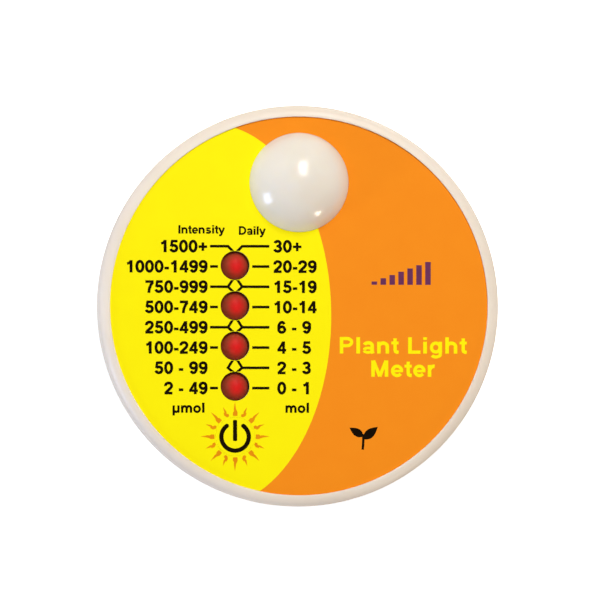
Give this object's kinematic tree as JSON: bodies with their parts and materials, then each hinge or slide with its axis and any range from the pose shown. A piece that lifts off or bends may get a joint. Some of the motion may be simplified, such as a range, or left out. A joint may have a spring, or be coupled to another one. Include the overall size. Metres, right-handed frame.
{
  "type": "daily light meter",
  "caption": "Palm-sized round light meter: a printed face with a light-gathering dome, a column of red scale lamps and a power key, with a screw-in battery cap and stake socket underneath.",
  "frame": {"origin": "centre of the flat rest face, on the case's axis, at the bottom of the box round the part", "axes": "+Z out of the printed face, towards the sky; +Y towards the dome, the top of the printed scale; +X towards the words on the right of the face"},
  "size_m": [0.076, 0.076, 0.0299],
  "materials": {
    "case_plastic": "moulded ivory-white plastic, lightly glossy",
    "printed_film": "printed polyester film, satin",
    "diffuser": "translucent white diffuser, satin",
    "lamp_red": "clear red epoxy",
    "seal_rubber": "black elastomer",
    "black_plastic": "black moulded plastic",
    "filter_glass": "tinted filter glass",
    "plated_metal": "tin or nickel plate",
    "screw_steel": "zinc-plated steel",
    "cell_steel": "nickel-plated steel can",
    "can_aluminium": "drawn aluminium can",
    "contact_bronze": "spring bronze",
    "board_laminate": "green solder mask on glass laminate",
    "ceramic": "tan ceramic"
  },
  "bodies": {
    "meter_body": {"front_shell": "case_plastic", "rear_cover": "case_plastic", "case_gasket": "seal_rubber", "dome_seal": "seal_rubber", "face_film": "printed_film", "diffuser_dome": "diffuser", "dome_retainer": "black_plastic", "light_baffle": "black_plastic", "lamp_spacers": "black_plastic", "switch_body": "black_plastic", "microcontroller": "black_plastic", "amplifier_chip": "black_plastic", "capacitor_base": "black_plastic", "chip_resistors": "black_plastic", "photodiode": "black_plastic", "optical_filter": "filter_glass", "lamp_1": "lamp_red", "lamp_2": "lamp_red", "lamp_3": "lamp_red", "lamp_4": "lamp_red", "lamp_leads": "plated_metal", "switch_plate": "plated_metal", "switch_snap_dome": "plated_metal", "switch_legs": "plated_metal", "chip_pins": "plated_metal", "watch_crystal": "plated_metal", "reservoir_capacitor": "can_aluminium", "case_screws": "screw_steel", "board_screws": "screw_steel", "coin_cell": "cell_steel", "cell_spring_contact": "contact_bronze", "cell_rim_contact": "contact_bronze", "circuit_board": "board_laminate", "chip_capacitors": "ceramic"},
    "power_button": {"key_cap": "printed_film", "key_plunger": "case_plastic", "switch_stem": "black_plastic"},
    "battery_seal": {"battery_cap_seal": "seal_rubber"},
    "battery_cover": {"battery_cap": "case_plastic"}
  },
  "joints": [
    {"name": "power_press", "type": "slide", "parent": "meter_body", "child": "power_button", "axis": [0, 0, -1], "range_m": [0, 0.0003], "stiffness_N_per_m": 1600, "springref_m": -0.0006, "deforming": ["switch_snap_dome"]},
    {"name": "cap_rise", "type": "slide", "parent": "meter_body", "child": "battery_seal", "axis": [0, 0, -1], "range_m": [0, 0.0063]},
    {"name": "cap_turn", "type": "hinge", "parent": "battery_seal", "child": "battery_cover", "pos_m": [0, -0.0202, 0.003], "axis": [0, 0, -1], "range_deg": [0, 1260]}
  ],
  "couplings": [
    {"joint": "cap_turn", "follows": "cap_rise", "rad_per_m": 3490.7}
  ]
}
